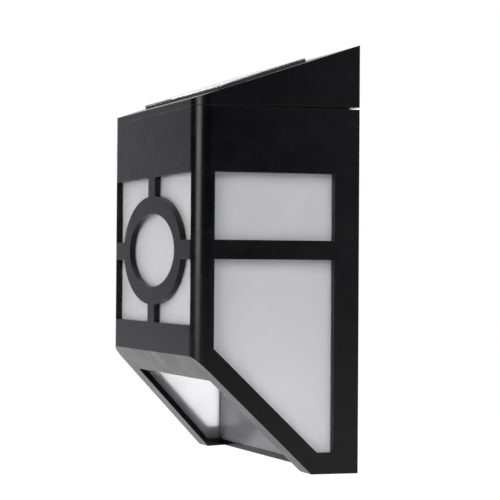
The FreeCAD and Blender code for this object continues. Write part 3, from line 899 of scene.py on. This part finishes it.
def sheet_plate(form, x, thick, centre, half):
    """Pressed plate with clipped corners."""
    clip = half * 0.25
    short = half - clip
    corners = [(-short, -half), (short, -half), (half, -short), (half, short)]
    corners += [(short, half), (-short, half), (-half, short), (-half, -short)]
    near = [form.verts.new((x, centre.y + y, centre.z + z)) for y, z in corners]
    face = form.faces.new(near)
    made = bmesh.ops.extrude_face_region(form, geom=[face])
    moved = [item for item in made["geom"] if isinstance(item, bmesh.types.BMVert)]
    bmesh.ops.translate(form, verts=moved, vec=(thick, 0, 0))


def screw_places(node):
    """Low and high corner of each screw of a node."""
    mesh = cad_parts[node].data
    form = bmesh.new()
    form.from_mesh(mesh)
    left = set(form.verts)
    places = []
    while left:
        queue = [left.pop()]
        cluster = list(queue)
        while queue:
            for edge in queue.pop().link_edges:
                for vert in edge.verts:
                    if vert in left:
                        left.remove(vert)
                        queue.append(vert)
                        cluster.append(vert)
        places.append(cluster_span([vert.co.copy() for vert in cluster]))
    form.free()
    return merge_spans(places)


def cluster_span(points):
    """Low and high corner of some points."""
    low = Vector([min(point[axis] for point in points) for axis in range(3)])
    high = Vector([max(point[axis] for point in points) for axis in range(3)])
    return low, high


def merge_spans(spans):
    """Join the spans of faces that belong to one screw."""
    merged = []
    for low, high in spans:
        centre = (low + high) / 2
        for group in merged:
            if (group[0].xy - centre.xy).length < 3 * MM:
                group[1].append(low)
                group[1].append(high)
                break
        else:
            merged.append((centre, [low, high]))
    return [cluster_span(points) for _, points in merged]


def screw_head(form, low, high):
    """Domed head seen from below with a crossed recess, and its shank."""
    centre = (low + high) / 2
    head_radius = (high.x - low.x) / 2
    under_head = low.z + HEAD_HEIGHT * MM
    recess, slot = CROSS_DEPTH * MM, CROSS_HALF * MM
    rings, steps = 10, 48
    loops = []
    for ring in range(1, rings + 1):
        radius = head_radius * ring / rings
        loop = []
        for step in range(steps):
            angle = 2 * math.pi * step / steps
            x, y = radius * math.cos(angle), radius * math.sin(angle)
            z = low.z + HEAD_CROWN * MM * (radius / head_radius) ** 2
            if min(abs(x), abs(y)) < slot and radius < head_radius * CROSS_REACH:
                z += recess * (1 - radius / head_radius)
            loop.append(form.verts.new((centre.x + x, centre.y + y, z)))
        loops.append(loop)
    tip = form.verts.new((centre.x, centre.y, low.z + recess))
    join_rings(form, [tip], loops[0], steps)
    for first, second in zip(loops, loops[1:]):
        join_rings(form, first, second, steps)
    shank = head_radius * SHANK_SHARE
    outline = [(under_head, head_radius), (under_head, shank)]
    outline += [(high.z - SCREW_POINT * MM, shank), (high.z, 0)]
    before = loops[-1]
    for height, radius in outline:
        count = 1 if radius == 0 else steps
        loop = []
        for step in range(count):
            angle = 2 * math.pi * step / steps
            x, y = radius * math.cos(angle), radius * math.sin(angle)
            loop.append(form.verts.new((centre.x + x, centre.y + y, height)))
        join_rings(form, before, loop, steps)
        before = loop


def build_screws(node, body, steel):
    """One detailed piece for each screw of a node."""
    for number, (low, high) in enumerate(screw_places(node), 1):
        name = "%s_%d" % (node, number)
        mesh = mesh_from(name, lambda form: screw_head(form, low, high))
        piece = add_piece(name, mesh, [steel], body)
        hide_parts(node)


def brick(form, low, high):
    """Small block between two corners, with all its edges rounded."""
    made = bmesh.ops.create_cube(form, size=1.0)
    size = high - low
    place = Matrix.Translation((low + high) / 2) @ Matrix.Diagonal((size.x, size.y, size.z, 1))
    bmesh.ops.transform(form, matrix=place, verts=made["verts"])
    edges = list({edge for vert in made["verts"] for edge in vert.link_edges})
    bmesh.ops.bevel(form, geom=edges, offset=min(size) * 0.12, segments=2, affect="EDGES")


def build_inductor():
    """Ferrite drum with closed rings that stand for its turns of copper wire."""
    low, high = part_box("inductor")
    centre = (low + high) / 2
    radius = (high.x - low.x) / 2
    height = high.z - low.z
    flange, wound, clip = height / 6, radius * COIL_SHARE, COIL_CLIP * MM
    pitch = (height - 2 * flange) / COIL_TURNS
    bends = 6
    outline = [(0, 0), (0, radius - clip), (clip, radius), (flange, radius), (flange, wound)]
    for turn in range(COIL_TURNS):
        for step in range(1, bends + 1):
            share = step / bends
            bulge = 0.45 * pitch * math.sin(math.pi * share)
            outline.append((flange + (turn + share) * pitch, wound + bulge))
    outline += [(height - flange, radius), (height - clip, radius)]
    outline += [(height, radius - clip), (height, 0)]
    place = Matrix.Translation((centre.x, centre.y, low.z))
    up = Matrix.Rotation(-math.pi / 2, 4, "Y")
    mesh = mesh_from("inductor_coil", lambda form: lathe(form, outline, place, up, 32))
    ferrite = moulded("ferrite", (0.04, 0.04, 0.042), gloss=0.5, depth=0.3, edge=0.05 * MM)
    copper = moulded("copper wire", (0.60, 0.22, 0.09), gloss=0.22, metal=1.0, edge=0.02 * MM)
    piece = add_piece("inductor_coil", mesh, [ferrite, copper], "cap")
    margin = flange + 0.01 * MM
    for polygon in mesh.polygons:
        at = polygon.center.z - low.z
        if margin < at < height - margin:
            polygon.material_index = 1
            polygon.use_smooth = True
    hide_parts("inductor")


def build_led(node, lens, tin, phosphor):
    """Domed lens with a flat on its rim, the cup inside it and square legs."""
    low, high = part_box(node)
    centre = (low + high) / 2
    rim = (high.x - low.x) / 2
    radius = rim * LED_BARREL
    stem, thick = LED_STEM * MM, LED_RIM * MM
    outline = [(0, 0)]
    bends = 12
    for step in range(1, bends + 1):
        angle = math.pi / 2 * step / bends
        outline.append((radius * (1 - math.cos(angle)), radius * math.sin(angle)))
    outline += [(stem, radius), (stem, rim - 0.1 * MM), (stem + 0.1 * MM, rim)]
    outline += [(stem + thick, rim), (stem + thick, 0)]
    place = Matrix.Translation((centre.x, centre.y, low.z))
    up = Matrix.Rotation(-math.pi / 2, 4, "Y")
    mesh = mesh_from(node + "_lens", lambda form: lathe(form, outline, place, up, 40))
    flat = centre.x + (radius + rim) / 2
    for vert in mesh.vertices:
        vert.co.x = min(vert.co.x, flat)
    for polygon in mesh.polygons:
        polygon.use_smooth = polygon.center.z < low.z + stem - 0.05 * MM
    piece = add_piece(node + "_lens", mesh, [lens], "cap")
    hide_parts(node)
    cup_outline = in_metres(LED_CUP)
    cup_place = place @ Matrix.Translation((0, 0, stem - LED_CUP_DROP * MM))
    cup = mesh_from(node + "_cup", lambda form: lathe(form, cup_outline, cup_place, up, 24))
    piece = add_piece(node + "_cup", cup, [tin, phosphor], "cap")
    spot_top = low.z + stem - 2.0 * MM
    for polygon in cup.polygons:
        reach = (polygon.center.xy - centre.xy).length
        if reach < LED_SPOT * MM and polygon.center.z < spot_top:
            polygon.material_index = 1
    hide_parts(node)

    def legs(form):
        for side in (-1, 1):
            x = centre.x + side * LED_PITCH * MM / 2
            half = LED_LEG / 2 * MM
            near = Vector((x - half, centre.y - half, low.z + stem + 0.8 * MM))
            brick(form, near, Vector((x + half, centre.y + half, high.z)))

    piece = add_piece(node + "_legs", mesh_from(node + "_legs", legs), [tin], "cap")
    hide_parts(node)


def build_board_parts(tin):
    """Legs of the chip, small resistors and solder on the board."""
    chip_low, chip_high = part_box("driver_chip")
    top = chip_low.z

    def legs(form):
        width, length, height = CHIP_LEG
        half = width / 2 * MM
        for number in range(CHIP_LEGS):
            x = chip_low.x + (number + 0.5) * (chip_high.x - chip_low.x) / CHIP_LEGS
            for y, outward in ((chip_low.y, -1), (chip_high.y, 1)):
                near, far = sorted((y, y + outward * length * MM))
                brick(form, Vector((x - half, near, top)), Vector((x + half, far, top + height * MM)))

    add_piece("chip_legs", mesh_from("chip_legs", legs), [tin], "cap")
    paste = moulded("resistor body", (0.03, 0.03, 0.035), gloss=0.3, edge=0.05 * MM)

    def resistors(form):
        length, width, height = (side * MM for side in RESISTOR)
        for number in range(RESISTORS):
            x = chip_low.x - (RESISTOR_START + RESISTOR_PITCH * number) * MM
            y = chip_high.y - RESISTOR_INSET * MM
            brick(form, Vector((x, y, top)), Vector((x + length, y + width, top + height)))

    add_piece("resistors", mesh_from("resistors", resistors), [paste], "cap")

    def joints(form):
        for wire in ("panel_wire_left", "panel_wire_right"):
            low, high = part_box(wire)
            centre = (low + high) / 2
            up = Matrix.Rotation(-math.pi / 2, 4, "Y")
            place = Matrix.Translation((centre.x, centre.y, low.z))
            lathe(form, in_metres(SOLDER_CONE), place, up, 24)

    solder = mesh_from("solder_joints", joints)
    smooth(solder)
    add_piece("solder_joints", solder, [tin], "cap")


# ------------------------------------------------------------------ panel and registration

OPERATORS = (BuildStage, FinishHousing, FinishLiner, FinishPanel, BuildBattery, BuildScrews, BuildBoard)


class FenceLightPanel(bpy.types.Panel):
    """Shows the settings and the steps that build the fence light"""

    bl_idname = "VIEW3D_PT_fence_light"
    bl_label = "Fence Light"
    bl_space_type = "VIEW_3D"
    bl_region_type = "UI"
    bl_category = "Fence Light"

    def draw(self, context):
        for settings in (context.scene.fence_light_finish, context.scene.fence_light_stage):
            for name in settings.bl_rna.properties.keys():
                if name not in ("rna_type", "name"):
                    self.layout.prop(settings, name)
        for operator in OPERATORS:
            self.layout.operator(operator.bl_idname)


CLASSES = (FenceLightFinish, FenceLightStage) + OPERATORS + (FenceLightPanel,)


def register():
    """Register the classes and their settings."""
    for item in CLASSES:
        bpy.utils.register_class(item)
    bpy.types.Scene.fence_light_finish = bpy.props.PointerProperty(type=FenceLightFinish)
    bpy.types.Scene.fence_light_stage = bpy.props.PointerProperty(type=FenceLightStage)


def unregister():
    """Remove the settings and the classes."""
    del bpy.types.Scene.fence_light_stage
    del bpy.types.Scene.fence_light_finish
    for item in reversed(CLASSES):
        bpy.utils.unregister_class(item)


def main():
    """Build everything in order."""
    register()
    bpy.ops.fence_light.stage()
    bpy.ops.fence_light.housing()
    bpy.ops.fence_light.liner()
    bpy.ops.fence_light.panel()
    bpy.ops.fence_light.battery()
    bpy.ops.fence_light.screws()
    bpy.ops.fence_light.board()


if __name__ == "__main__":
    main()
